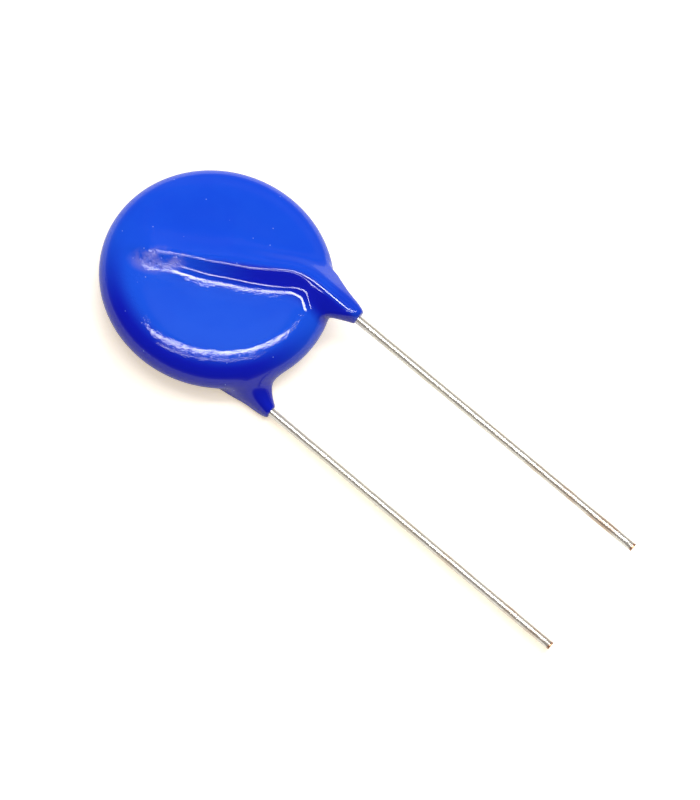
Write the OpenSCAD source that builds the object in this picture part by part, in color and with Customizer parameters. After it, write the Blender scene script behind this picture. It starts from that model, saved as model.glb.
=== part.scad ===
// Leaded disc varistor, lying on its rear face with both leads straight.
// A zinc-oxide disc carries a silver electrode on each face. One tinned wire is
// soldered across each electrode, turns towards the edge and leaves as a lead.
// The whole disc is dipped in epoxy, which rides up over the wires as two soft
// ridges and runs down the leads as two tapered legs.
// Millimetres. +Z is the disc's axis, +X runs along the leads to their cut ends.
// The origin is on the surface that the part lies on, under the middle of its box.

/* [Ceramic disc] */
// Diameter of the zinc-oxide disc
ceramic_d = 20; // [18:0.5:24]
// Thickness of the zinc-oxide disc
ceramic_t = 3; // [2:0.1:4]
// Bevel on both edges of the zinc-oxide disc
ceramic_bevel = 0.4; // [0.2:0.05:0.5]

/* [Electrodes] */
// Bare ring between the electrode's edge and the disc's edge
electrode_margin = 0.8; // [0.5:0.1:2]
// Thickness of each fired silver electrode
electrode_t = 0.05; // [0.02:0.01:0.1]

/* [Leads] */
// Diameter of the tinned wire
wire_d = 0.8; // [0.6:0.05:1]
// Distance between the two leads across the part
lead_pitch = 10.7; // [9:0.1:12]
// How far the pair of leads sits off the disc's middle, towards the front lead's side
lead_shift = -0.48; // [-1:0.02:1]
// Length of each lead past the coated disc's far edge
lead_free = 33.65; // [5:0.05:40]
// Angle between a lead and its stretch across the disc
crossing_angle = 35.5; // [28:0.5:42]
// How far the wire's line passes from the disc's middle
crossing_offset = 0.65; // [0:0.05:1.5]
// How far the wire runs on past the disc's middle
crossing_past = 5.8; // [3:0.1:6.5]
// Radius of the wire's bend, at its axis
bend_r = 5; // [3.6:0.1:6]

/* [Solder] */
// Film of solder between the electrode and the wire
solder_film = 0.05; // [0.02:0.01:0.15]
// Width of solder at the electrode, on each side of the wire
solder_reach = 0.5; // [0.3:0.05:1]
// Wire left bare of solder ahead of its bend
solder_short = 0.8; // [0.4:0.1:3]

/* [Epoxy coating] */
// Thickness of epoxy around the disc's edge
coat_edge = 0.75; // [0.6:0.05:1.2]
// Width of the rounding from the coated face down to the edge
edge_round = 3.2; // [2.4:0.1:3.6]
// Thickness of epoxy over the disc's faces
coat_face = 0.7; // [0.5:0.05:0.9]
// Thickness of epoxy over the wire, at the ridge's crest
coat_crest = 0.7; // [0.3:0.05:0.9]
// Width of the ridge on the side that faces the part's middle
ridge_inner = 3.2; // [1.8:0.1:3.6]
// Width of the ridge on the side that faces the nearer edge
ridge_outer = 1.9; // [1.2:0.1:2.4]
// Length over which a ridge dies away past the wire's inner end
ridge_fade = 2.2; // [1:0.1:2.4]
// Length of the coating down each lead, past the disc's edge
leg_len = 2.7; // [2.2:0.1:5]
// Growth of a leg's half-width for each millimetre back from its tip
leg_taper = 0.25; // [0.1:0.05:0.35]
// Thickness of epoxy round the wire at a leg's tip
leg_tip_wall = 0.06; // [0.04:0.01:0.2]
// Rounding of a leg's blunt tip
leg_nose = 0.1; // [0.05:0.01:0.2]
// How far the front leg leans outwards on its wire
front_lean = 0.15; // [0:0.01:0.3]
// How far the rear leg leans outwards on its wire
rear_lean = 0.04; // [0:0.01:0.3]
// Spread of a leg's root along the disc's edge, towards the part's middle
root_inner = 1.2; // [0.4:0.1:2]
// Spread of a leg's root along the disc's edge, away from the part's middle
root_outer = 0.1; // [0:0.05:1]

/* [Hidden] */

round_fn = 96;
wire_fn = 32;
solder_fn = 32;
rim_steps = 24;
ring_n = 32;
fade_steps = 8;
arc_steps = 6;
leg_steps = 24;

// How much thinner the wire is through its bend
bend_draw = 0.01;
// Angle by which the bend laps into each straight
bend_lap = 1;
// Wire left clear past a leg's tip before the lead has its full width
neck_clear = 0.15;
// How far the neck inside the leg laps into the free lead
neck_lap = 0.1;
// How deep a ridge's foot dips under the body's surface, so that the two fuse
foot_dip = 0.12;
// Least height of a ridge's foot, where it crosses the disc's edge
foot_floor = 1.5;
// Share of its height that a ridge starts with, still under the body's surface
first_rise = 0.05;
// Shape of a ridge's flank: under 1 it is steeper near the crest
flank_power = 0.85;
// Depth of the hidden underside of a ridge, inside the body
ridge_root = 0.6;
// Greatest depth of a leg's root under its wire
root_drop = 2.6;
// Crowding of a ridge's points towards its crest
crest_crowd = 1.4;
// Narrowing of a ridge where it dies away
end_taper = 0.8;
// Distances back from a leg's tip between which a flank turns from bell to oval
outer_blend = [leg_len + 2.3, leg_len + 0.4];
inner_blend = [leg_len + 0.7, leg_len - 1.6];

coral_blue = [0.1, 0.32, 0.88];
zinc_grey = [0.25, 0.25, 0.24];
silver_white = [0.82, 0.82, 0.8];
solder_grey = [0.62, 0.63, 0.65];
tin_bright = [0.8, 0.78, 0.72];

wire_r = wire_d / 2;
body_r = ceramic_d / 2 + coat_edge;
electrode_z = ceramic_t / 2 + electrode_t;
half_t = electrode_z + coat_face;
flat_r = body_r - edge_round;
wire_z = electrode_z + solder_film + wire_r;
crest_z = max(wire_z + wire_r + coat_crest, half_t + foot_dip);
lead_reach = body_r + lead_free;
front_y = lead_pitch / 2 + lead_shift;
rear_y = lead_pitch / 2 - lead_shift;
disc_x = (body_r - lead_reach) / 2;

function smooth(t) = let (c = min(1, max(0, t))) c * c * (3 - 2 * c);
function mix(a, b, t) = a + (b - a) * t;

// A wire's route in the disc's plane, for a lead that leaves at height y.
// The distance d along it is 0 where the bend ends and the lead's straight begins.
corner_cut = bend_r * tan(crossing_angle / 2);
arc_len = bend_r * crossing_angle * PI / 180;
function corner_s(y) = (y - crossing_offset * cos(crossing_angle)) / sin(crossing_angle);
function crossing_point(s) = [
    s * cos(crossing_angle) - crossing_offset * sin(crossing_angle),
    s * sin(crossing_angle) + crossing_offset * cos(crossing_angle)
];
function bend_s(y) = corner_s(y) - corner_cut;
function exit_x(y) = crossing_point(corner_s(y)).x + corner_cut;
function route_start(y) = -arc_len - bend_s(y) - crossing_past;
function heading(d) = min(crossing_angle, max(0, -d / bend_r * 180 / PI));
function route_point(y, d) = d >= 0 ? [exit_x(y) + d, y]
    : d > -arc_len ? [exit_x(y) - bend_r * sin(heading(d)), y - bend_r * (1 - cos(heading(d)))]
    : crossing_point(bend_s(y) + d + arc_len);
function tip_d(y) = sqrt(body_r * body_r - y * y) + leg_len - exit_x(y);

// Height of the plain body's upper surface over a point in the disc's plane
function body_top(p) = let (over = max(0, norm(p) - flat_r))
    over < edge_round ? half_t * sqrt(1 - pow(over / edge_round, 2)) : 0;

// Half-width of a leg at a distance back from its tip
function leg_half(back, spread, lean) = wire_r + leg_tip_wall + lean
    + leg_nose * sqrt(1 - pow(1 - min(1, back / leg_nose), 2))
    + leg_taper * back + spread * pow(back / leg_len, 3);

// One cross-section of the coating over a wire: a bell on the disc's face,
// which turns into a closed oval round the wire on the leg. The outer flank
// turns round sooner than the inner one.
function skin_ring(y, lean, d) =
    let (
        p = route_point(y, d),
        turn = heading(d),
        across = [-sin(turn), cos(turn)],
        back = tip_d(y) - d,
        run_in = min(1, max(0, (d - route_start(y) + ridge_fade) / ridge_fade)),
        rise = mix(first_rise, 1, smooth(run_in)),
        spread = sqrt(1 - end_taper * pow(1 - run_in, 2)),
        outer_round = smooth((outer_blend[0] - back) / (outer_blend[0] - outer_blend[1])),
        inner_round = smooth((inner_blend[0] - back) / (inner_blend[0] - inner_blend[1])),
        outer_w = spread * mix(ridge_outer, min(ridge_outer, leg_half(back, root_outer, lean)), outer_round),
        inner_w = spread * mix(ridge_inner, leg_half(back, root_inner, lean), inner_round),
        outer_foot = max(foot_floor, body_top(p + outer_w * across) - foot_dip),
        inner_foot = max(foot_floor, body_top(p - inner_w * across) - foot_dip),
        shift = lean * (1 - smooth(back / leg_len)),
        leg_top = wire_z + leg_half(back, 0, lean),
        leg_belly = min(root_drop, leg_half(back, root_inner, lean)),
        top_z = mix(body_top(p) - foot_dip, min(crest_z, leg_top), rise)
    )
    [for (i = [0 : ring_n - 1])
        let (
            angle = 360 * i / ring_n,
            side = cos(angle),
            upper = angle <= 180,
            lean_in = upper ? (side > 0 ? 1 : 0) : (1 + side) / 2,
            round_share = mix(inner_round, outer_round, lean_in),
            waist = mix(mix(inner_foot, outer_foot, lean_in), wire_z, round_share),
            u = mix(pow(abs(side), crest_crowd), abs(side), round_share),
            bell = (1 + cos(180 * pow(u, flank_power))) / 2,
            crown = mix(bell, sin(angle), round_share),
            belly = mix(ridge_root, leg_belly, round_share),
            q = shift + sign(side) * u * (side > 0 ? outer_w : inner_w),
            z = upper ? waist + (top_z - waist) * crown : waist + belly * sin(angle)
        )
        [p.x + q * across.x, p.y + q * across.y, z]
    ];

// Distances along the route at which the skin has a cross-section
function skin_stops(y) =
    let (start = route_start(y), leg_d = tip_d(y))
    concat(
        [for (i = [0 : fade_steps]) start - ridge_fade * (1 - i / fade_steps)],
        [for (i = [0 : arc_steps - 1]) -arc_len + arc_len * i / arc_steps],
        [for (i = [0 : leg_steps]) leg_d * (1 - pow(1 - i / leg_steps, 1.5))]
    );

module loft(rings) {
    n = len(rings[0]);
    last = len(rings) - 1;
    polyhedron(
        points = [for (ring = rings) each ring],
        faces = concat(
            [for (k = [0 : last - 1]) for (i = [0 : n - 1]) [k * n + i, (k + 1) * n + i, k * n + (i + 1) % n]],
            [for (k = [0 : last - 1]) for (i = [0 : n - 1])
                [k * n + (i + 1) % n, (k + 1) * n + i, (k + 1) * n + (i + 1) % n]],
            [[for (i = [0 : n - 1]) i], [for (i = [n - 1 : -1 : 0]) last * n + i]]
        )
    );
}

module wire_skin(y, lean) {
    loft([for (d = skin_stops(y)) skin_ring(y, lean, d)]);
}

module plain_body() {
    rim = [for (i = [0 : rim_steps]) let (a = 180 * i / rim_steps - 90)
        [flat_r + edge_round * cos(a), half_t * sin(a)]];
    rotate_extrude($fn = round_fn) polygon(concat([[0, -half_t]], rim, [[0, half_t]]));
}

// The wire is drawn down a little in its bend, which laps into both straights,
// and necks down inside the leg, so that the free lead is a length of its own.
module wire(y) {
    crossing = crossing_point(-crossing_past);
    exit = exit_x(y);
    free_start = exit + tip_d(y) + neck_clear;
    translate([crossing.x, crossing.y, wire_z]) rotate([0, 90, crossing_angle])
        cylinder(d = wire_d, h = bend_s(y) + crossing_past, $fn = wire_fn);
    translate([exit, y - bend_r, wire_z]) rotate([0, 0, 90 - bend_lap])
        rotate_extrude(angle = crossing_angle + 2 * bend_lap, $fn = round_fn)
            translate([bend_r, 0]) circle(d = wire_d - bend_draw, $fn = wire_fn);
    translate([exit, y, wire_z]) rotate([0, 90, 0])
        cylinder(d1 = wire_d, d2 = wire_d - bend_draw, h = free_start + neck_lap - exit, $fn = wire_fn);
    translate([free_start, y, wire_z]) rotate([0, 90, 0])
        cylinder(d = wire_d, h = lead_reach - free_start, $fn = wire_fn);
}

module solder_run(y) {
    ends = [crossing_point(-crossing_past), crossing_point(bend_s(y) - solder_short)];
    height = wire_z - electrode_z;
    difference() {
        hull()
            for (p = ends)
                translate([p.x, p.y, electrode_z])
                    cylinder(r1 = wire_r + solder_reach, r2 = wire_r + solder_film, h = height, $fn = solder_fn);
        wire(y);
    }
}

module electrode() {
    translate([0, 0, ceramic_t / 2])
        cylinder(r = ceramic_d / 2 - electrode_margin, h = electrode_t, $fn = round_fn);
}

module ceramic_body() {
    edge = ceramic_d / 2;
    half = ceramic_t / 2;
    rotate_extrude($fn = round_fn) polygon([
        [0, -half], [edge - ceramic_bevel, -half], [edge, ceramic_bevel - half],
        [edge, half - ceramic_bevel], [edge - ceramic_bevel, half], [0, half]
    ]);
}

// Turns what is drawn for the front face over to the rear face
module to_rear() {
    rotate([180, 0, 0]) children();
}

// Puts what is drawn round the disc's middle where the part lies
module in_place() {
    translate([disc_x, 0, crest_z]) children();
}

module epoxy_coating() {
    color(coral_blue) in_place() difference() {
        union() {
            plain_body();
            wire_skin(front_y, front_lean);
            to_rear() wire_skin(rear_y, rear_lean);
        }
        ceramic_body();
        electrode();
        to_rear() electrode();
        solder_run(front_y);
        to_rear() solder_run(rear_y);
        wire(front_y);
        to_rear() wire(rear_y);
    }
}

module ceramic_disc() {
    color(zinc_grey) in_place() ceramic_body();
}

module front_electrode() {
    color(silver_white) in_place() electrode();
}

module rear_electrode() {
    color(silver_white) in_place() to_rear() electrode();
}

module front_solder() {
    color(solder_grey) in_place() solder_run(front_y);
}

module rear_solder() {
    color(solder_grey) in_place() to_rear() solder_run(rear_y);
}

module front_lead() {
    color(tin_bright) in_place() wire(front_y);
}

module rear_lead() {
    color(tin_bright) in_place() to_rear() wire(rear_y);
}

epoxy_coating();
ceramic_disc();
front_electrode();
rear_electrode();
front_solder();
rear_solder();
front_lead();
rear_lead();
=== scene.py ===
"""Looks of a leaded disc varistor: its dipped epoxy coating, its two tinned leads and the parts inside."""

import math

import bpy
from mathutils import Matrix, Vector


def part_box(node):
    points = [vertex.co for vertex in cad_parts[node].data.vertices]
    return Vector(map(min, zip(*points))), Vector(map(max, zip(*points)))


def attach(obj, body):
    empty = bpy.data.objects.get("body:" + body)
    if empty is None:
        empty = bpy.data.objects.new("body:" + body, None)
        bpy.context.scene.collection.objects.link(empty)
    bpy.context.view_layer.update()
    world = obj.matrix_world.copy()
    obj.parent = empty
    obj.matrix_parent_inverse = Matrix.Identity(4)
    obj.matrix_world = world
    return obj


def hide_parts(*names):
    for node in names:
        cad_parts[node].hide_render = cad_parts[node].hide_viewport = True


bl_info = {
    "name": "Disc Varistor Looks",
    "version": (1, 0, 0),
    "blender": (4, 5, 0),
    "location": "3D View > Sidebar > Varistor",
    "description": "Builds the coating, the leads and the studio of a leaded disc varistor",
    "category": "Object",
}

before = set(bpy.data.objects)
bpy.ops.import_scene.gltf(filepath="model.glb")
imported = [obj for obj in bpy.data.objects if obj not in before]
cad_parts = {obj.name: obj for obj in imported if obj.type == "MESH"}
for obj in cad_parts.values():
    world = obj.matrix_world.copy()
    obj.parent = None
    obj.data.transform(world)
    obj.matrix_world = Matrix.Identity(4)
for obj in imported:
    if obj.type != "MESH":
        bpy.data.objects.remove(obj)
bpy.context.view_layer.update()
BOX_LOW, BOX_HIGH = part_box("epoxy_coating")
FRONT_LOW, FRONT_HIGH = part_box("front_lead")
REAR_LOW, REAR_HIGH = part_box("rear_lead")

MM = 0.001
# Radius of the coated disc, the height of its middle above the floor, and that middle
BODY_R = (BOX_HIGH.y - BOX_LOW.y) / 2
DISC_Z = (BOX_LOW.z + BOX_HIGH.z) / 2
DISC = Vector((BOX_LOW.x + BODY_R, (BOX_HIGH.y + BOX_LOW.y) / 2, DISC_Z))
# Level direction of the studio's far side, the direction of its light there, and that of the soft glow
# overhead which the disc's face mirrors
LEVEL_FAR = (-0.307, 0.952, 0.0)
FAR_SIDE = (-0.22, 0.68, 0.70)
GLOW = (-0.095, 0.294, 0.951)

NUMBER = "NodeSocketFloat"
WHOLE = "NodeSocketInt"
VECTOR = "NodeSocketVector"
GEOMETRY = "NodeSocketGeometry"
MATERIAL = "NodeSocketMaterial"


# ---------------------------------------------------------------- node helpers


class Field:
    """A number in a node tree. Arithmetic on fields adds Math nodes to the tree."""

    def __init__(self, tree, socket):
        self.tree = tree
        self.socket = socket

    def math(self, operation, *others):
        node = self.tree.nodes.new("ShaderNodeMath")
        node.operation = operation
        for slot, value in enumerate((self, *others)):
            feed(self.tree, node.inputs[slot], value)
        return Field(self.tree, node.outputs[0])

    def __add__(self, other):
        return self.math("ADD", other)

    def __sub__(self, other):
        return self.math("SUBTRACT", other)

    def __rsub__(self, other):
        return (self * -1.0) + other

    def __mul__(self, other):
        return self.math("MULTIPLY", other)

    def __truediv__(self, other):
        return self.math("DIVIDE", other)

    def __rtruediv__(self, other):
        return self.math("POWER", -1.0) * other

    __radd__ = __add__
    __rmul__ = __mul__

    def at_least(self, other):
        return self.math("MAXIMUM", other)

    def at_most(self, other):
        return self.math("MINIMUM", other)

    def union(self, other, softness):
        """Joins two distances, with a fillet of about this width."""
        return self.math("SMOOTH_MIN", other, softness)

    def common(self, other, softness):
        """Keeps what two distances share, with an edge rounded over about this width."""
        return self.math("SMOOTH_MAX", other, softness)

    def power(self, exponent):
        return self.math("POWER", exponent)

    def root(self):
        return self.math("SQRT")

    def size(self):
        return self.math("ABSOLUTE")

    def sine(self):
        return self.math("SINE")

    def cosine(self):
        return self.math("COSINE")

    def ramp(self, low, high, to_low=0.0, to_high=1.0):
        """Changes smoothly from to_low at low to to_high at high."""
        node = self.tree.nodes.new("ShaderNodeMapRange")
        node.interpolation_type = "SMOOTHSTEP"
        for slot, value in zip(node.inputs[:5], (self, low, high, to_low, to_high)):
            feed(self.tree, slot, value)
        return Field(self.tree, node.outputs[0])

    def band(self, low, full, falls, high):
        """0 up to low, 1 from full to falls, and 0 again from high on."""
        return self.ramp(low, full) * self.ramp(falls, high, 1.0, 0.0)


def feed(tree, slot, value):
    """Gives a node's input a number, a vector, a socket or a field."""
    if isinstance(value, Field):
        tree.links.new(value.socket, slot)
    elif isinstance(value, bpy.types.NodeSocket):
        tree.links.new(value, slot)
    else:
        slot.default_value = value


def add(tree, kind, inputs=None, **settings):
    """A new node, with its settings and its inputs given by name or number."""
    node = tree.nodes.new(kind)
    for name, value in settings.items():
        setattr(node, name, value)
    for key, value in (inputs or {}).items():
        feed(tree, node.inputs[key], value)
    return node


def hypot(a, b):
    return (a * a + b * b).root()


def split(tree, vector):
    node = add(tree, "ShaderNodeSeparateXYZ", {0: vector})
    return [Field(tree, s) for s in node.outputs]


def join(tree, x, y, z):
    return add(tree, "ShaderNodeCombineXYZ", {0: x, 1: y, 2: z}).outputs[0]


def new_group(name, kind, inputs, outputs):
    """An empty node group with its interface: (name, socket kind, default) each."""
    tree = bpy.data.node_groups.new(name, kind)
    for direction, rows in (("INPUT", inputs), ("OUTPUT", outputs)):
        for label, socket_kind, *default in rows:
            socket = tree.interface.new_socket(label, in_out=direction, socket_type=socket_kind)
            if default:
                socket.default_value = default[0]
    start = tree.nodes.new("NodeGroupInput")
    end = tree.nodes.new("NodeGroupOutput")
    return tree, start.outputs, end.inputs


def number_inputs(tree, start):
    """A group's number inputs as fields, by name."""
    return {socket.name: Field(tree, socket) for socket in start if socket.type == "VALUE"}


def use_group(tree, group, inputs):
    """Places a node group in a tree and gives its outputs."""
    kind = "GeometryNodeGroup" if tree.bl_idname == "GeometryNodeTree" else "ShaderNodeGroup"
    return add(tree, kind, inputs, node_tree=group).outputs


# ---------------------------------------------------------------- sizes and colours


def length(name, description, default):
    """A size in millimetres."""
    return bpy.props.FloatProperty(name=name, description=f"{description}, in mm", default=default)


def colour(name, description, default):
    return bpy.props.FloatVectorProperty(
        name=name, description=description, default=default, subtype="COLOR", size=3
    )


class CoatingSizes(bpy.types.PropertyGroup):
    """Sizes of the epoxy coating and of the wires under it, in millimetres."""

    body_radius: length("Body Radius", "Radius of the coated disc", BODY_R / MM)
    half_thickness: length("Half Thickness", "Half the thickness of the plain coated disc", 2.25)
    crest_height: length("Crest Height", "Height of a ridge's crest above the disc's middle", DISC_Z / MM)
    wire_height: length(
        "Wire Height", "Height of a wire's axis above the disc's middle",
        ((FRONT_LOW.z + FRONT_HIGH.z) / 2 - DISC_Z) / MM,
    )
    wire_radius: length("Wire Radius", "Radius of the tinned wire", 0.4)
    crossing_angle: bpy.props.FloatProperty(
        name="Crossing Angle", description="Angle between a lead and its stretch across the disc",
        default=math.radians(35.5), subtype="ANGLE",
    )
    crossing_offset: length("Crossing Offset", "How far the wire's line passes from the disc's middle", 0.65)
    crossing_past: length("Crossing Past", "How far the wire runs on past the disc's middle", 5.8)
    bend_radius: length("Bend Radius", "Radius of the wire's bend at its axis", 5.0)
    leg_length: length("Leg Length", "Length of the coating down each lead, past the disc's edge", 2.7)
    ridge_fade: length("Ridge Fade", "Length over which a ridge dies away past the wire's end", 2.2)
    grain: length("Grain", "Size of the facets of the coating's mesh", 0.13)


class FinishColours(bpy.types.PropertyGroup):
    """Colours of the finishes."""

    epoxy_face: colour("Epoxy Face", "Colour of the epoxy over the disc's faces", (0.008, 0.075, 0.76))
    # Painted light: the near half of each face is painted lighter in this colour
    epoxy_painted_light: colour("Epoxy Light", "Colour of a face's lighter half", (0.012, 0.100, 0.80))
    # Painted shade: this colour darkens the near edge, the inner flank and the legs
    epoxy_painted_shade: colour(
        "Epoxy Deep", "Colour of the epoxy where it lies thick, round the edge and the legs",
        (0.005, 0.012, 0.52),
    )
    # Painted sheen: this milky colour paints a spread highlight over the pinholed patch
    epoxy_painted_sheen: colour("Epoxy Milky", "Colour of the pinholed patch at a ridge's end", (0.25, 0.24, 0.72))
    dust: colour("Dust", "Colour of the specks of dust", (0.35, 0.5, 0.95))
    tin: colour("Tin", "Colour of the tinned wire", (0.96, 0.94, 0.86))
    worn_tin: colour("Worn Tin", "Colour of the tinning where it is worn", (0.90, 0.84, 0.62))
    copper: colour("Copper", "Colour of the wire's copper core at its cut ends", (0.55, 0.23, 0.10))


WIRE_SIZES = (
    "wire_height", "wire_radius", "crossing_angle", "crossing_offset", "crossing_past", "bend_radius"
)
COAT_SIZES = ("body_radius", "half_thickness", "crest_height", "leg_length", "ridge_fade", *WIRE_SIZES)


def size_rows(keys):
    """A group's inputs for these sizes, each with its property's name and default."""
    rows = [CoatingSizes.__annotations__[key].keywords for key in keys]
    return [(row["name"], NUMBER, row["default"]) for row in rows]


def size_values(sizes, keys):
    """These sizes, by the names of the inputs that they go to."""
    return {CoatingSizes.__annotations__[key].keywords["name"]: getattr(sizes, key) for key in keys}


# ---------------------------------------------------------------- the coating's form

# Profiles of the coating. Each names where a value changes, from and to in mm, and its two values.
# Measured along the wire from the ridge's far end: how much of its full rise the crest has, how far it
# dives under the face, the radius of its rounding, and the fall of the flanks on the bend's inner and
# outer sides
CREST_SHARE = (1.0, 8.0, 0.80, 0.95)
CREST_DIVE = (-2.8, 1.8, 1.9, 0.0)
CREST_ROUND = (5.0, 13.0, 0.40, 1.05)
INNER_FALL = (-1.0, 9.0, 0.40, 1.1)
OUTER_FALL = (0.0, 6.0, 0.30, 0.50)
OUTER_EXTRA = (8.0, 14.0, 0.0, 0.50)
# Measured back from the leg's tip: how much of its lean the leg has, how far its top has swollen, and
# how much wider it may grow far in
LEAN_SHARE = (0.0, 2.5, 1.0, 0.0)
TOP_SWELL = (-0.6, 2.3)
EXTRA_WIDTH = (7.0, 12.0, 0.0, 2.4)
# Measured along the wire from its bend's outer end: the width of the fillet at the ridge's inner foot,
# what it loses again near the bend, and where the fillet at the leg's root takes over
FOOT_FILLET = (-15.5, -10.0, 0.5, 3.0)
FOOT_LOSS = (-7.0, -2.0, 0.0, 1.1)
ROOT_STARTS = (-5.0, -1.0)

# Each lead's offset from the disc's middle line, then its leg's lean, how fast it opens outwards and
# inwards for each mm back from its tip, and the width of the fillet at its root
LEG_SIZES = [
    ("Front Offset", NUMBER, 4.87), ("Rear Offset", NUMBER, 5.83),
    ("Front Lean", NUMBER, 0.15), ("Rear Lean", NUMBER, 0.04),
    ("Front Outer Flare", NUMBER, 0.36), ("Rear Outer Flare", NUMBER, 0.10),
    ("Front Inner Flare", NUMBER, 0.40), ("Rear Inner Flare", NUMBER, 0.70),
    ("Front Root Fillet", NUMBER, 1.1), ("Rear Root Fillet", NUMBER, 2.4),
]


def bend_and_end(value):
    """Where a wire leaves its bend, along X, and how far along the wire from there its inner end lies."""
    angle, radius, offset = value["Crossing Angle"], value["Bend Radius"], value["Crossing Offset"]
    corner = (value["Lead Offset"] - offset * angle.cosine()) / angle.sine()
    cut = radius * (angle * 0.5).math("TANGENT")
    exit_x = corner * angle.cosine() - offset * angle.sine() + cut
    inner_end = cut - value["Crossing Past"] - radius * angle - corner
    return exit_x, inner_end


def ridge_top(value, z, across, past_end):
    """How far a point is above the ridge: two slopes that meet in a rounded crest and dive at the far end."""
    crest_width = 0.15
    rise = value["Crest Height"] - value["Half Thickness"]
    crest = rise * past_end.ramp(*CREST_SHARE) - past_end.ramp(*CREST_DIVE)
    inner_fall = past_end.ramp(*INNER_FALL)
    outer_fall = past_end.ramp(*OUTER_FALL) + past_end.ramp(*OUTER_EXTRA)
    fall = inner_fall + (outer_fall - inner_fall) * across.ramp(-crest_width, crest_width)
    rounding = past_end.ramp(*CREST_ROUND)
    return z - value["Half Thickness"] - crest + fall * (hypot(across, rounding) - rounding)


def leg_cone(value, z, across, back):
    """How far a point is from the leg, an oval cone that opens at its own rate out, in, up and down."""
    # From where the leg meets the disc, it opens faster, up to its widest on each side
    tip_skin, tip_flatness, opening = 0.18, 0.85, 0.36
    meets, faster_out, faster_in = 2.0, 0.08, 0.35
    widest_out, widest_in, most_up, most_down = 2.6, 3.4, 1.9, 1.7
    lean = value["Lean"]
    aside = across - lean * back.ramp(*LEAN_SHARE)
    run = back.at_least(0.0)
    merge = (back - meets).at_least(0.0)
    tip_r = value["Wire Radius"] + tip_skin + lean * 0.5
    round_r = tip_r + run * opening
    wider = back.ramp(*EXTRA_WIDTH)
    outer = (tip_r + run * value["Outer Flare"] + merge * merge * faster_out).at_most(wider + widest_out)
    inner = (tip_r + run * value["Inner Flare"] + merge * merge * faster_in).at_most(wider + widest_in)
    tip_top = tip_r * tip_flatness
    swell = back.ramp(*TOP_SWELL)
    high = tip_top + (most_up - tip_top) * swell * (2.0 - swell)
    low = round_r.at_most(most_down)
    depth = z - value["Wire Height"]
    sideways = (aside.at_least(0.0) / outer + aside.at_most(0.0) / inner) * round_r
    upwards = (depth.at_least(0.0) / high + depth.at_most(0.0) / low) * round_r
    return hypot(sideways, upwards) - round_r


def wire_cover_group():
    """How far a point is from the epoxy that covers one wire, and its place across and along that wire."""
    tree, start, end = new_group(
        "wire_cover", "GeometryNodeTree",
        [("Position", VECTOR), ("Lead Offset", NUMBER), ("Lean", NUMBER),
         ("Outer Flare", NUMBER), ("Inner Flare", NUMBER), *size_rows(COAT_SIZES)],
        [("Cover", NUMBER), ("Across", NUMBER), ("Along", NUMBER)],
    )
    value = number_inputs(tree, start)
    x, y, z = split(tree, start["Position"])
    lead_y, angle, radius = value["Lead Offset"], value["Crossing Angle"], value["Bend Radius"]
    exit_x, wire_end = bend_and_end(value)
    # The nearest point of the route: across it to the outer side, and along it from the bend's outer end
    dx, dy = x - exit_x, y - lead_y + radius
    turn = (dx * -1.0).math("ARCTAN2", dy).at_least(0.0).at_most(angle)
    sin_turn, cos_turn = turn.sine(), turn.cosine()
    across = dy * cos_turn - dx * sin_turn - radius
    along = dx * cos_turn + dy * sin_turn - radius * turn
    past_end = along - wire_end + value["Ridge Fade"]
    edge_x = (value["Body Radius"] * value["Body Radius"] - lead_y * lead_y).root()
    back = edge_x + value["Leg Length"] - exit_x - along
    # The cover is what the ridge's top, the leg's cone, its blunt tip and the ridge's far end share, with
    # each edge rounded
    top_edge, tip_edge, end_edge, beyond = 0.4, 0.25, 0.1, 1.0
    cover = ridge_top(value, z, across, past_end).common(leg_cone(value, z, across, back), top_edge)
    cover = cover.common(back * -1.0, tip_edge).common(past_end * -1.0 - beyond, end_edge)
    for key, result in (("Cover", cover), ("Across", across), ("Along", along)):
        feed(tree, end[key], result)
    return tree


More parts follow.
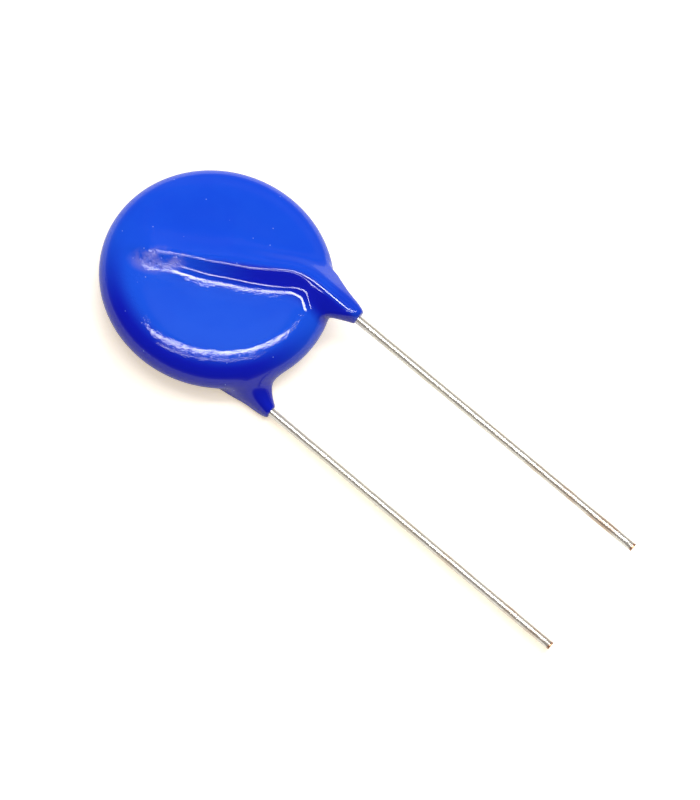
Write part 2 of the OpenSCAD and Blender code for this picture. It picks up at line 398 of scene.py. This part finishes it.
def coat_distance_group(cover):
    """How far a point is from the coating's surface, in mm, with the points inside below 0."""
    tree, start, end = new_group(
        "coat_distance", "GeometryNodeTree",
        [("Position", VECTOR), *size_rows(COAT_SIZES), *LEG_SIZES],
        [("Distance", NUMBER), ("Across", NUMBER), ("Along", NUMBER)],
    )
    value = number_inputs(tree, start)
    x, y, z = split(tree, start["Position"])
    half, body_radius = value["Half Thickness"], value["Body Radius"]
    shared = {name: value[name] for name, *_ in size_rows(COAT_SIZES)}
    # The plain body: flat in the middle, and rounded ever more sharply towards its edge
    edge, sharpness = 5.25, 3.6
    from_middle = hypot(x, y)
    out = ((from_middle - body_radius + edge) / edge).at_least(0.0)
    whole = ((out.power(sharpness) + (z / half) * (z / half)).root() - 1.0) * half
    # The ridges. The epoxy fills the inner corner between ridge and face more softly than the outer
    # one, and round the rim the fillets stay narrow, apart from those at the legs' roots
    crest_width, outer_fillet, rim_fillet = 0.4, 1.0, 0.8
    rim_starts, rim_full = 3.0, 0.6
    near_edge = from_middle.ramp(body_radius - rim_starts, body_radius - rim_full)
    turned = join(tree, x, y * -1.0, z * -1.0)
    ridges = []
    for end_name, place in (("Front", start["Position"]), ("Rear", turned)):
        own = {key: value[f"{end_name} {key}"] for key in ("Lean", "Outer Flare", "Inner Flare")}
        own["Lead Offset"] = value[f"{end_name} Offset"]
        ridge = use_group(tree, cover, {"Position": place, **own, **shared})
        cover_distance, across, along = (Field(tree, ridge[key]) for key in ("Cover", "Across", "Along"))
        foot = along.ramp(*FOOT_FILLET) - along.ramp(*FOOT_LOSS)
        fillet = foot + (outer_fillet - foot) * across.ramp(-crest_width, crest_width)
        at_rim = along.ramp(*ROOT_STARTS, rim_fillet, value[f"{end_name} Root Fillet"])
        fillet = fillet + (at_rim - fillet) * near_edge
        whole = whole.union(cover_distance, fillet)
        ridges.append({"Across": across, "Along": along})
    # Both crests end flat just inside the full height, and the coating lies on the rear one
    inset, flat_edge = 0.02, 0.08
    whole = whole.common(z.size() - value["Crest Height"] + inset, flat_edge)
    feed(tree, end["Distance"], whole)
    front, rear = ridges
    in_front = z.ramp(-0.01, 0.01)
    for key in ("Across", "Along"):
        feed(tree, end[key], rear[key] + (front[key] - rear[key]) * in_front)
    return tree


def store(tree, geometry, name, value):
    """Keeps a number on each point of a mesh or line, for the finish to read."""
    inputs = {"Geometry": geometry, "Name": name, "Value": value}
    return add(tree, "GeometryNodeStoreNamedAttribute", inputs, data_type="FLOAT", domain="POINT").outputs[0]


def set_down(tree, geometry, start):
    """Takes a mesh from millimetres round the disc's middle to its place, smooth and in its material."""
    scaled = {"Geometry": geometry, "Scale": (MM, MM, MM), "Translation": start["Middle"]}
    geometry = add(tree, "GeometryNodeTransform", scaled).outputs[0]
    geometry = add(tree, "GeometryNodeSetShadeSmooth", {"Geometry": geometry}).outputs[0]
    geometry = add(tree, "GeometryNodeRealizeInstances", {0: geometry}).outputs[0]
    dressed = {"Geometry": geometry, "Material": start["Material"]}
    return add(tree, "GeometryNodeSetMaterial", dressed).outputs[0]


def settle(tree, skin, distance, sizes, place, distance_here):
    """Moves each point of a mesh down the slope of the distance in three steps, never far."""
    probe_step, flattest, longest = 0.01, 0.05, 0.1
    slopes = []
    for axis in range(3):
        probe = [0.0, 0.0, 0.0]
        probe[axis] = probe_step
        moved = add(tree, "ShaderNodeVectorMath", {0: place, 1: probe}, operation="ADD").outputs[0]
        there = use_group(tree, distance, {"Position": moved, **sizes})
        slopes.append((Field(tree, there["Distance"]) - distance_here) / probe_step)
    steep = (slopes[0] * slopes[0] + slopes[1] * slopes[1] + slopes[2] * slopes[2]).at_least(flattest)
    back = distance_here / steep * -1.0
    shift = join(tree, *[(slope * back).at_least(-longest).at_most(longest) for slope in slopes])
    for _ in range(3):
        skin = add(tree, "GeometryNodeSetPosition", {"Geometry": skin, "Offset": shift}).outputs[0]
    return skin


def coat_tree(distance):
    """Meshes the coating: a volume of distances, its zero surface, and steps that settle each point on it."""
    rows = [*size_rows(COAT_SIZES), *LEG_SIZES]
    tree, start, end = new_group(
        "coat_mesh", "GeometryNodeTree",
        [("Geometry", GEOMETRY), *rows, ("Grain", NUMBER), ("Middle", VECTOR), ("Material", MATERIAL)],
        [("Geometry", GEOMETRY)],
    )
    value = number_inputs(tree, start)
    sizes = {name: value[name] for name, *_ in rows}
    place = add(tree, "GeometryNodeInputPosition").outputs[0]
    here = use_group(tree, distance, {"Position": place, **sizes})
    distance_here = Field(tree, here["Distance"])
    # The volume, with a little room round the coating
    end_room, side_room, top_room = 1.0, 0.6, 0.4
    reach_x = value["Body Radius"] + value["Leg Length"] + end_room
    side = value["Body Radius"] + side_room
    high = value["Crest Height"] + top_room
    grain = value["Grain"]
    cube = add(tree, "GeometryNodeVolumeCube", {
        "Density": distance_here * -1.0, "Background": -1.0,
        "Min": join(tree, side * -1.0, side * -1.0, high * -1.0),
        "Max": join(tree, reach_x, side, high),
        "Resolution X": (reach_x + side) / grain,
        "Resolution Y": side * 2.0 / grain,
        "Resolution Z": high * 2.0 / grain,
    })
    skin = add(tree, "GeometryNodeVolumeToMesh", {"Volume": cube.outputs[0], "Threshold": 0.0}).outputs[0]
    skin = settle(tree, skin, distance, sizes, place, distance_here)
    for key in ("Across", "Along"):
        skin = store(tree, skin, key.lower(), here[key])
    feed(tree, end[0], set_down(tree, skin, start))
    return tree


def grow(name, tree, inputs):
    """Runs a Geometry Nodes tree on an empty mesh and keeps the result as a plain mesh."""
    seed = bpy.data.objects.new(name, bpy.data.meshes.new(name))
    bpy.context.scene.collection.objects.link(seed)
    modifier = seed.modifiers.new(name, "NODES")
    modifier.node_group = tree
    sockets = {s.name: s.identifier for s in tree.interface.items_tree if s.in_out == "INPUT"}
    for key, value in inputs.items():
        modifier[sockets[key]] = value
    depsgraph = bpy.context.evaluated_depsgraph_get()
    mesh = bpy.data.meshes.new_from_object(
        seed.evaluated_get(depsgraph), preserve_all_data_layers=True, depsgraph=depsgraph
    )
    seed.modifiers.remove(modifier)
    old = seed.data
    seed.data = mesh
    bpy.data.meshes.remove(old)
    mesh.name = name
    if not mesh.polygons:
        raise RuntimeError(f"{name}: the node tree made no faces")
    return seed


# ---------------------------------------------------------------- the leads' form


def lead_tree():
    """Sweeps a wire along its route: across the disc, round the bend and out to its pinched, cut end."""
    tree, start, end = new_group(
        "lead_mesh", "GeometryNodeTree",
        [("Geometry", GEOMETRY), ("Lead Offset", NUMBER), ("Side", NUMBER), ("Reach", NUMBER),
         *size_rows(WIRE_SIZES), ("Rings", WHOLE, 420), ("Facets", WHOLE, 28),
         ("Middle", VECTOR), ("Material", MATERIAL)],
        [("Geometry", GEOMETRY)],
    )
    value = number_inputs(tree, start)
    angle, radius, side = value["Crossing Angle"], value["Bend Radius"], value["Side"]
    exit_x, first = bend_and_end(value)
    last = value["Reach"] - exit_x
    # Each ring's distance along the wire from the bend's outer end, and its place there
    rings = Field(tree, start["Rings"])
    count = Field(tree, add(tree, "GeometryNodeInputIndex").outputs[0])
    along = first + (last - first) * count / (rings - 1.0)
    turn = (along / radius * -1.0).at_least(0.0).at_most(angle)
    straight = along + radius * turn
    x = exit_x + straight * turn.cosine() - radius * turn.sine()
    y = value["Lead Offset"] + straight * turn.sine() - radius * (1.0 - turn.cosine())
    spot = join(tree, x, y * side, value["Wire Height"] * side)
    line = add(tree, "GeometryNodeMeshLine", {"Count": start["Rings"]})
    route = add(tree, "GeometryNodeSetPosition", {"Geometry": line.outputs[0], "Position": spot}).outputs[0]
    route = store(tree, route, "to_cut", last - along)
    curve = add(tree, "GeometryNodeMeshToCurve", {0: route}).outputs[0]
    loop = add(tree, "GeometryNodeCurvePrimitiveCircle", {
        "Resolution": start["Facets"], "Radius": value["Wire Radius"],
    })
    swept = add(tree, "GeometryNodeCurveToMesh", {0: curve, 1: loop.outputs[0], "Fill Caps": True}).outputs[0]
    # The straight lead's tinning is uneven by up to about a twentieth, and the cutter flattened its end
    lump_scale, fullest, unevenness = 0.55, 0.62, 0.16
    flat_length, flat_share = 0.9, 0.72
    past_bend, before_bend = 1.2, 0.5
    place = add(tree, "GeometryNodeInputPosition").outputs[0]
    px, py, pz = split(tree, place)
    lumps = add(tree, "ShaderNodeTexNoise", {"Vector": place, "Scale": lump_scale, "Detail": 2.0}).outputs[0]
    stored = add(tree, "GeometryNodeInputNamedAttribute", {"Name": "to_cut"}, data_type="FLOAT").outputs[0]
    to_cut = Field(tree, stored)
    mid_y = value["Lead Offset"] * side
    mid_z = value["Wire Height"] * side
    flat = to_cut.ramp(0.0, flat_length, flat_share, 1.0)
    free = to_cut.ramp(last - past_bend, last + before_bend, 1.0, 0.0)
    swell = (Field(tree, lumps) - fullest).at_most(0.0) * unevenness * free
    upright = 1.0 + (swell + flat - 1.0) * free
    moved = join(tree, px, py + (py - mid_y) * swell, mid_z + (pz - mid_z) * upright)
    shaped = add(tree, "GeometryNodeSetPosition", {"Geometry": swept, "Position": moved}).outputs[0]
    feed(tree, end[0], set_down(tree, shaped, start))
    return tree


# ---------------------------------------------------------------- finishes


def principled(name, metallic=0.0):
    """A material with one Principled BSDF, its tree and shader node, and its place in mm from the middle."""
    material = bpy.data.materials.new(name)
    material.use_nodes = True
    tree = material.node_tree
    shader = tree.nodes["Principled BSDF"]
    shader.inputs["Metallic"].default_value = metallic
    place = tree.nodes.new("ShaderNodeTexCoord").outputs["Object"]
    moved = add(tree, "ShaderNodeVectorMath", {0: place, 1: DISC}, operation="SUBTRACT").outputs[0]
    spot = add(tree, "ShaderNodeVectorMath", {0: moved, "Scale": 1.0 / MM}, operation="SCALE").outputs[0]
    return material, tree, shader, spot


def grain_group():
    """Fine irregularity: a height about 0 and a patchy mask from 0 to 1."""
    tree, start, end = new_group(
        "fine_grain", "ShaderNodeTree",
        [("Position", VECTOR), ("Grain", NUMBER, 0.25), ("Patch", NUMBER, 3.0)],
        [("Height", NUMBER), ("Mask", NUMBER)],
    )
    noise = {}
    for key, detail in (("Grain", 2.0), ("Patch", 3.0)):
        scale = 1.0 / Field(tree, start[key])
        node = add(tree, "ShaderNodeTexNoise", {
            "Vector": start["Position"], "Scale": scale, "Detail": detail, "Roughness": 0.6,
        })
        noise[key] = Field(tree, node.outputs[0])
    feed(tree, end["Height"], (noise["Grain"] - 0.5) * 2.0)
    feed(tree, end["Mask"], noise["Patch"].ramp(0.38, 0.66))
    return tree


def specks_group():
    """Scattered specks: 1 in the middle of each and 0 between them."""
    tree, start, end = new_group(
        "specks", "ShaderNodeTree",
        [("Position", VECTOR), ("Spacing", NUMBER, 1.0), ("Size", NUMBER, 0.1), ("Share", NUMBER, 0.5)],
        [("Mask", NUMBER)],
    )
    spacing = Field(tree, start["Spacing"])
    cells = add(tree, "ShaderNodeTexVoronoi", {"Vector": start["Position"], "Scale": 1.0 / spacing})
    size = Field(tree, start["Size"]) / spacing
    chance = Field(tree, add(tree, "ShaderNodeSeparateColor", {0: cells.outputs["Color"]}).outputs[0])
    kept = (Field(tree, start["Share"]) - chance).ramp(0.0, 0.02)
    feed(tree, end["Mask"], (1.0 - Field(tree, cells.outputs["Distance"]).ramp(size * 0.4, size)) * kept)
    return tree


def grain_at(tree, spot, grain, patch):
    """The height and the mask of fine irregularity of this grain and patch size, in mm."""
    group = bpy.data.node_groups.get("fine_grain") or grain_group()
    outputs = use_group(tree, group, {"Position": spot, "Grain": grain, "Patch": patch})
    return Field(tree, outputs["Height"]), Field(tree, outputs["Mask"])


def specks_at(tree, spot, spacing, size, share):
    """A mask of specks of this spacing and size, in mm, in a share of the places."""
    group = bpy.data.node_groups.get("specks") or specks_group()
    inputs = {"Position": spot, "Spacing": spacing, "Size": size, "Share": share}
    return Field(tree, use_group(tree, group, inputs)["Mask"])


def stored_number(tree, name):
    return Field(tree, add(tree, "ShaderNodeAttribute", attribute_name=name).outputs["Fac"])


def mix(tree, factor, first, second):
    """A colour between two, each a socket or three numbers."""
    node = add(tree, "ShaderNodeMix", {"Factor": factor}, data_type="RGBA")
    for slot, shade in ((6, first), (7, second)):
        feed(tree, node.inputs[slot], shade if isinstance(shade, bpy.types.NodeSocket) else (*shade, 1.0))
    return node.outputs[2]


def bump(tree, shader, height):
    """Raises the surface by a height in millimetres."""
    node = add(tree, "ShaderNodeBump", {"Height": height, "Distance": MM, "Strength": 1.0})
    feed(tree, shader.inputs["Normal"], node.outputs[0])


# Zones of the epoxy's finish, in mm: where each starts, is full, ends and is gone. The flank, where shade is
# painted, the foot and the crest are measured across the wire, towards the bend's outer side, and the rim
# from the disc's middle
PAINTED_FLANK_SHADE = (-3.0, -1.6, -0.7, -0.1)
FOOT_ZONE = (-3.9, -3.0, -2.6, -1.9)
CREST_ZONE = (-1.3, -0.7, -0.1, 0.3)
RIM_ZONE = (7.9, 8.6, 9.0, 9.8)
# Where those of a wire start or stop along it, from its bend's outer end, and where the leg's painted shade
# starts
PAINTED_FLANK_STARTS = (-14.5, -5.0)
FOOT_STOPS = (-4.0, -0.5, 1.0, 0.0)
CREST_STOPS = (-10.0, -4.0, 1.0, 0.0)
PAINTED_LEG_SHADE_STARTS = (-1.0, 3.0)
# Where the rim's zone stops across the wire, short of the ridge
RIM_STOPS = (-3.4, -2.6, 1.0, 0.0)
# The middle of the pinholed patch at a ridge's far end, in mm from the disc's middle
PATCH_X, PATCH_Y = -4.5, -3.5


def painted_shade_mask(to_near, out, across, along, body_radius):
    """1 where shade is painted deep: round the near edge, on the inner flank and on the legs."""
    leg_share = 0.35
    # The edge's painted shade lies on the near side only
    near_facing = (to_near / out.at_least(0.1)).ramp(0.0, 0.8)
    edge = out.ramp(body_radius - 2.6, body_radius - 0.9) * near_facing
    flank = across.band(*PAINTED_FLANK_SHADE) * along.ramp(*PAINTED_FLANK_STARTS)
    leg = along.ramp(*PAINTED_LEG_SHADE_STARTS) * out.ramp(body_radius - 1.5, body_radius + 0.5) * leg_share
    return edge.at_least(flank).at_least(leg)


def rough_epoxy(x, level, out, across, along):
    """Masks of the rough surface, along the ridge, round the rim and in the patch, and of the patch alone."""
    foot_share, rim_share, crest_share = 0.8, 0.7, 0.4
    foot = across.band(*FOOT_ZONE) * along.ramp(*FOOT_STOPS)
    crest = across.band(*CREST_ZONE) * along.ramp(*CREST_STOPS)
    rim = out.band(*RIM_ZONE) * across.ramp(*RIM_STOPS)
    # The patch is an oval that slants with the ridge's end
    from_x, from_y = x - PATCH_X, level - PATCH_Y
    patch = 1.0 - hypot(from_x * 0.55, from_y * 0.75 - from_x * 0.40).ramp(0.6, 1.4)
    rough = (foot * foot_share).at_least(rim * rim_share).at_least(crest * crest_share)
    return rough.at_least(patch), patch


def epoxy_material(colours, sizes):
    """Glossy blue epoxy: painted shade and light, and rough along the ridge, the rim and in one patch."""
    material, tree, shader, spot = principled("glossy_blue_epoxy")
    x, y, z = split(tree, spot)
    # The rear side is the front turned over, so its level place across the leads is reversed
    level = y * z.ramp(-0.01, 0.01, -1.0, 1.0)
    across = stored_number(tree, "across")
    along = stored_number(tree, "along")
    out = hypot(x, y)
    to_near = x * -LEVEL_FAR[0] - y * LEVEL_FAR[1]
    painted_shade = painted_shade_mask(to_near, out, across, along, sizes.body_radius)
    rough, patch = rough_epoxy(x, level, out, across, along)
    # The relief, with its heights in mm: a fine grain, a ripple, orange peel, pinholes in the patch, and dust
    fine, mottle = grain_at(tree, spot, grain=0.26, patch=1.6)
    ripple, _ = grain_at(tree, spot, grain=0.6, patch=5.0)
    orange_peel, clouds = grain_at(tree, spot, grain=2.2, patch=5.0)
    pinholes = specks_at(tree, spot, spacing=0.45, size=0.16, share=0.55)
    dust = specks_at(tree, spot, spacing=0.9, size=0.08, share=0.30)
    smooth_grain, rough_grain, mottled_grain = 0.0007, 0.006, 0.012
    ripple_height, peel_height, pinhole_depth, dust_height = 0.010, 0.003, 0.04, 0.004
    height = fine * (smooth_grain + rough * (rough_grain + mottle * mottled_grain))
    height = height + ripple * rough * ripple_height + orange_peel * peel_height
    height = height - pinholes * patch * pinhole_depth + dust * dust_height
    bump(tree, shader, height)
    # The colour: painted light makes a face lighter towards the near side, painted shade deepens it
    # round the near edge, on the inner flank and on the legs, and a painted milky sheen lies in the patch
    lighter = to_near.ramp(-4.0, 5.0) * 0.7 + clouds * 0.3
    blue = mix(tree, lighter, colours.epoxy_face, colours.epoxy_painted_light)
    blue = mix(tree, painted_shade, blue, colours.epoxy_painted_shade)
    # Painted sheen: a milky highlight colour is painted over the patch
    blue = mix(tree, patch * mottle * 0.6, blue, colours.epoxy_painted_sheen)
    blue = mix(tree, dust * 0.5, blue, colours.dust)
    feed(tree, shader.inputs["Base Color"], blue)
    feed(tree, shader.inputs["Roughness"], 0.05 + rough * 0.03 + patch * 0.05)
    return material


def tin_material(colours):
    """Tinned copper wire: worn in patches, with the copper bare at its cut end."""
    material, tree, shader, spot = principled("tinned_wire", metallic=0.65)
    to_cut = stored_number(tree, "to_cut")
    fine, worn = grain_at(tree, spot, grain=0.5, patch=2.5)
    # The cut face is bare copper, which also shows through the worn tin, ever less towards the disc
    bare = to_cut.ramp(0.0, 0.35, 1.0, 0.0) + to_cut.ramp(0.5, 22.0, 0.5, 0.0) * worn
    tin = mix(tree, worn * 0.35, colours.tin, colours.worn_tin)
    feed(tree, shader.inputs["Base Color"], mix(tree, bare, tin, colours.copper))
    feed(tree, shader.inputs["Roughness"], 0.22 + worn * 0.10)
    nicks = specks_at(tree, spot, spacing=0.9, size=0.2, share=0.3)
    bump(tree, shader, fine * 0.003 - nicks * 0.005)
    return material


def inner_material(name, dark, light, roughness, metallic, height):
    """A finish for a part under the coating: two mottled tones and a fine grain of a height in mm."""
    material, tree, shader, spot = principled(name, metallic)
    fine, mottle = grain_at(tree, spot, grain=0.15, patch=1.2)
    feed(tree, shader.inputs["Base Color"], mix(tree, mottle, dark, light))
    feed(tree, shader.inputs["Roughness"], mottle * 0.15 + roughness)
    bump(tree, shader, fine * height)
    return material


# ---------------------------------------------------------------- the studio

# The floor's own colour, that of its lift near the part, which paints a warm shadow there, and that of what
# is mirrored as dark
FLOOR_COLOUR = (0.84, 0.82, 0.80)
PAINTED_SHADOW_WARMTH = (1.0, 0.86, 0.60)
NEAR_BROWN = (1.0, 0.50, 0.28)
WHITE = (1.0, 1.0, 1.0)

# Each lamp's name, its place from the disc's middle and its length and width, in metres, its power in
# watts, and whether it shows in what is mirrored
LAMPS = (
    ("broad_strip", (0.005, 0.040, 0.6), 0.50, 0.050, 1.75, True),
    ("thin_strip", (0.080, -0.117, 0.6), 0.50, 0.014, 0.5, True),
    ("far_key", (-0.50, 0.60, 0.70), 0.5, 0.3, 2.7, False),
)


def seen_in_background(tree):
    """1 for the rays that show the background: the camera's own, and those mirrored or let through."""
    path = tree.nodes.new("ShaderNodeLightPath").outputs
    rays = [Field(tree, path[name]) for name in ("Is Camera Ray", "Is Glossy Ray", "Is Transmission Ray")]
    return rays[0].at_least(rays[1]).at_least(rays[2])


def floor_material():
    """A matt white floor with a lift in what shows of it, so that it renders white but for a painted shadow.
    """
    material = bpy.data.materials.new("white_floor")
    material.use_nodes = True
    tree = material.node_tree
    tree.nodes.clear()
    diffuse = add(tree, "ShaderNodeBsdfDiffuse", {"Color": (*FLOOR_COLOUR, 1.0)})
    camera = Field(tree, add(tree, "ShaderNodeLightPath").outputs["Is Camera Ray"])
    # The lift is warm and weaker round the part, a painted warm shadow where its shadow lies, and plain white
    # farther off
    x, y, _ = split(tree, tree.nodes.new("ShaderNodeTexCoord").outputs["Object"])
    painted_shadow_lift, more_far_off, mirrored_lift = 0.50, 0.40, 0.10
    far_off = hypot(x, y).ramp(0.08, 0.35)
    warm = mix(tree, far_off, PAINTED_SHADOW_WARMTH, WHITE)
    strength = camera * (painted_shadow_lift + far_off * more_far_off) + mirrored_lift
    lift = add(tree, "ShaderNodeEmission", {"Color": warm, "Strength": strength})
    both = add(tree, "ShaderNodeAddShader", {0: diffuse.outputs[0], 1: lift.outputs[0]})
    pick = add(tree, "ShaderNodeMixShader", {
        0: seen_in_background(tree), 1: diffuse.outputs[0], 2: both.outputs[0],
    })
    add(tree, "ShaderNodeOutputMaterial", {0: pick.outputs[0]})
    return material


def set_world(scene):
    """A pale studio: white to the camera, lit from its far side, and mirrored as a few pale bands."""
    world = bpy.data.worlds.new("studio")
    world.use_nodes = True
    scene.world = world
    tree = world.node_tree
    sky = tree.nodes["Background"]
    place = tree.nodes.new("ShaderNodeTexCoord").outputs["Generated"]
    path = tree.nodes.new("ShaderNodeLightPath").outputs
    camera, glossy = Field(tree, path["Is Camera Ray"]), Field(tree, path["Is Glossy Ray"])
    dots = []
    for toward in (FAR_SIDE, GLOW, LEVEL_FAR):
        node = add(tree, "ShaderNodeVectorMath", {0: place, 1: toward}, operation="DOT_PRODUCT")
        dots.append(Field(tree, node.outputs["Value"]))
    far, glow, level = dots
    dimmest, brightest = 0.08, 0.42
    lit = far.ramp(-0.5, 0.7, dimmest, brightest)
    # What is mirrored: a pale horizon, a band part of the way up the far side, and the glow overhead
    horizon_level, band_level, glow_level, least = 0.25, 0.12, 0.25, 0.05
    horizon = split(tree, place)[2].ramp(0.0, 0.45, 1.0, 0.0)
    horizon = horizon * horizon * horizon_level
    band = level.ramp(0.70, 0.78) * level.ramp(0.86, 0.94, band_level, 0.0)
    mirrored = (glow.ramp(0.983, 0.9925, 0.0, glow_level) + band).at_least(horizon)
    soft = lit + (mirrored + least - lit) * glossy
    feed(tree, sky.inputs["Strength"], soft + (1.0 - soft) * camera)
    # What is mirrored as dark is a warm brown
    brown = glossy * (1.0 - mirrored.ramp(0.05, 0.3))
    feed(tree, sky.inputs["Color"], mix(tree, brown, WHITE, NEAR_BROWN))


def set_lamps(scene):
    """Two long strips nearly overhead, side by side, and a soft lamp on the far side."""
    along = Vector((0.57, 0.82, 0.0)).normalized()
    for name, place, long_side, short_side, power, mirrored in LAMPS:
        light = bpy.data.lights.new(name, "AREA")
        light.shape = "RECTANGLE"
        light.size, light.size_y = long_side, short_side
        light.energy = power
        lamp = bpy.data.objects.new(name, light)
        scene.collection.objects.link(lamp)
        back = (Vector(place) - DISC).normalized()
        side = (along - along.project(back)).normalized()
        turn = Matrix((side, back.cross(side), back)).transposed().to_4x4()
        turn.translation = DISC + Vector(place)
        lamp.matrix_world = turn
        lamp.visible_glossy = mirrored


def set_camera(scene):
    """A long lens that looks down on the disc from its near side."""
    data = bpy.data.cameras.new("camera")
    data.sensor_width = 36.0
    data.lens = 147.0
    data.clip_start = 0.005
    camera = bpy.data.objects.new("camera", data)
    scene.collection.objects.link(camera)
    right = Vector((0.76126, 0.62521, 0.17202))
    up = Vector((-0.63487, 0.66465, 0.39393))
    toward = Vector((0.13196, -0.40909, 0.90290))
    from_disc = Vector((0.05521, -0.12086, 0.26486))
    turn = Matrix((right, up, toward)).transposed().to_4x4()
    turn.translation = DISC + from_disc
    camera.matrix_world = turn
    scene.camera = camera


# ---------------------------------------------------------------- operators


class VARISTOR_OT_make_coating(bpy.types.Operator):
    """Build the epoxy coating with its two ridges and two legs"""

    bl_idname = "varistor.make_coating"
    bl_label = "Make Coating"

    def execute(self, context):
        sizes = context.scene.coating_sizes
        tree = coat_tree(coat_distance_group(wire_cover_group()))
        coat = grow("epoxy_coat", tree, {
            **size_values(sizes, (*COAT_SIZES, "grain")),
            "Front Offset": (FRONT_HIGH.y / MM) - sizes.wire_radius - DISC.y / MM,
            "Rear Offset": DISC.y / MM - (REAR_LOW.y / MM) - sizes.wire_radius,
            "Middle": DISC, "Material": epoxy_material(context.scene.finish_colours, sizes),
        })
        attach(coat, "root")
        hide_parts("epoxy_coating")
        return {"FINISHED"}


class VARISTOR_OT_make_leads(bpy.types.Operator):
    """Build the two tinned leads along their routes"""

    bl_idname = "varistor.make_leads"
    bl_label = "Make Leads"

    def execute(self, context):
        sizes = context.scene.coating_sizes
        tin = tin_material(context.scene.finish_colours)
        tree = lead_tree()
        leads = (("front_lead", FRONT_LOW, FRONT_HIGH, 1.0), ("rear_lead", REAR_LOW, REAR_HIGH, -1.0))
        for name, low, high, side in leads:
            outermost = max(side * (high.y - DISC.y), side * (low.y - DISC.y)) / MM
            lead = grow(f"tinned_{name}", tree, {
                **size_values(sizes, WIRE_SIZES),
                "Lead Offset": outermost - sizes.wire_radius, "Side": side,
                "Reach": (high.x - DISC.x) / MM, "Middle": DISC, "Material": tin,
            })
            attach(lead, "root")
            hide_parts(name)
        return {"FINISHED"}


class VARISTOR_OT_finish_inside(bpy.types.Operator):
    """Finish the disc, the electrodes and the solder under the coating"""

    bl_idname = "varistor.finish_inside"
    bl_label = "Finish Inside"

    def execute(self, context):
        ceramic = inner_material("grey_ceramic", dark=(0.05, 0.055, 0.05), light=(0.09, 0.095, 0.085),
                                 roughness=0.6, metallic=0.0, height=0.01)
        silver = inner_material("fired_silver", dark=(0.6, 0.58, 0.54), light=(0.78, 0.76, 0.72),
                                roughness=0.4, metallic=1.0, height=0.004)
        solder = inner_material("solder", dark=(0.5, 0.5, 0.5), light=(0.66, 0.66, 0.65),
                                roughness=0.25, metallic=1.0, height=0.012)
        rows = (("ceramic_disc", ceramic), ("front_electrode", silver), ("rear_electrode", silver),
                ("front_solder", solder), ("rear_solder", solder))
        for name, material in rows:
            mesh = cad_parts[name].data
            mesh.materials.clear()
            mesh.materials.append(material)
        return {"FINISHED"}


class VARISTOR_OT_set_stage(bpy.types.Operator):
    """Set the floor, the lamps and the camera"""

    bl_idname = "varistor.set_stage"
    bl_label = "Set Stage"

    def execute(self, context):
        scene = context.scene
        bpy.ops.mesh.primitive_plane_add(size=4.0, location=(0, 0, 0))
        floor = context.object
        floor.name = "floor"
        floor.data.materials.append(floor_material())
        set_world(scene)
        set_lamps(scene)
        set_camera(scene)
        scene.view_settings.view_transform = "Standard"
        return {"FINISHED"}


class VARISTOR_PT_panel(bpy.types.Panel):
    """Sizes, colours and building steps of the varistor"""

    bl_idname = "VARISTOR_PT_panel"
    bl_label = "Disc Varistor"
    bl_space_type = "VIEW_3D"
    bl_region_type = "UI"
    bl_category = "Varistor"

    def draw(self, context):
        for group in (context.scene.coating_sizes, context.scene.finish_colours):
            for name in group.__annotations__:
                self.layout.prop(group, name)
        for operator in OPERATORS:
            self.layout.operator(operator.bl_idname)


OPERATORS = (
    VARISTOR_OT_make_coating, VARISTOR_OT_make_leads, VARISTOR_OT_finish_inside, VARISTOR_OT_set_stage,
)
CLASSES = (CoatingSizes, FinishColours, *OPERATORS, VARISTOR_PT_panel)


def register():
    for cls in CLASSES:
        bpy.utils.register_class(cls)
    bpy.types.Scene.coating_sizes = bpy.props.PointerProperty(type=CoatingSizes)
    bpy.types.Scene.finish_colours = bpy.props.PointerProperty(type=FinishColours)


def unregister():
    del bpy.types.Scene.finish_colours
    del bpy.types.Scene.coating_sizes
    for cls in reversed(CLASSES):
        bpy.utils.unregister_class(cls)


def main():
    register()
    bpy.ops.varistor.make_coating()
    bpy.ops.varistor.make_leads()
    bpy.ops.varistor.finish_inside()
    bpy.ops.varistor.set_stage()


if __name__ == "__main__":
    main()
